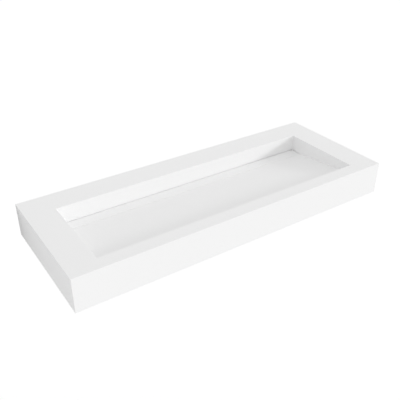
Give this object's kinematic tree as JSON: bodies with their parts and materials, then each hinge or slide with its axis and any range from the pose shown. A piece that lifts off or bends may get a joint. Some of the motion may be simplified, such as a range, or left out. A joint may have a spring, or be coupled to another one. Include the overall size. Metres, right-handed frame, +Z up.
{
  "type": "wall-hung basin",
  "caption": "Long white wall-hung slab basin: a rectangular bowl with a floor that falls to a rear trough under a lift-out cover, on wall brackets, with a waste tail below.",
  "frame": {"origin": "centre of the four wall bolts, on the wall plane", "axes": "+X to the right along the basin, +Y into the wall, +Z up"},
  "size_m": [1.21, 0.46, 0.152],
  "materials": {
    "solid_surface": "satin",
    "plywood": "matte",
    "bracket_coating": "satin",
    "cap_plastic": "matte",
    "seal_rubber": "matte",
    "bumper_silicone": "satin",
    "zinc_plate": "satin",
    "stainless": "satin",
    "brass": "satin"
  },
  "bodies": {
    "basin": {"top_deck": "solid_surface", "front_apron": "solid_surface", "left_apron": "solid_surface", "right_apron": "solid_surface", "rear_rail": "solid_surface", "bowl_front_wall": "solid_surface", "bowl_rear_wall": "solid_surface", "bowl_left_wall": "solid_surface", "bowl_right_wall": "solid_surface", "bowl_floor": "solid_surface", "trough_front_wall": "solid_surface", "trough_floor": "solid_surface", "cover_ledge": "solid_surface", "cover_lugs": "solid_surface", "floor_rib_left": "plywood", "floor_rib_centre": "plywood", "floor_rib_right": "plywood", "support_block_left": "plywood", "support_block_right": "plywood", "glue_blocks": "solid_surface", "wall_bracket_left": "bracket_coating", "wall_bracket_right": "bracket_coating", "arm_cap_left": "cap_plastic", "arm_cap_right": "cap_plastic", "bracket_pad_left": "seal_rubber", "bracket_pad_right": "seal_rubber", "strainer_gasket": "seal_rubber", "tail_gasket": "seal_rubber", "bracket_bolts": "zinc_plate", "bracket_washers": "zinc_plate", "waste_strainer": "stainless", "waste_screw": "stainless", "threaded_inserts": "brass", "waste_tail": "brass"},
    "cover": {"drain_cover": "solid_surface", "cover_bumpers": "bumper_silicone"}
  },
  "joints": [
    {"name": "cover_lift", "type": "slide", "parent": "basin", "child": "cover", "axis": [0, 0, 1], "range_m": [0, 0.12]}
  ]
}
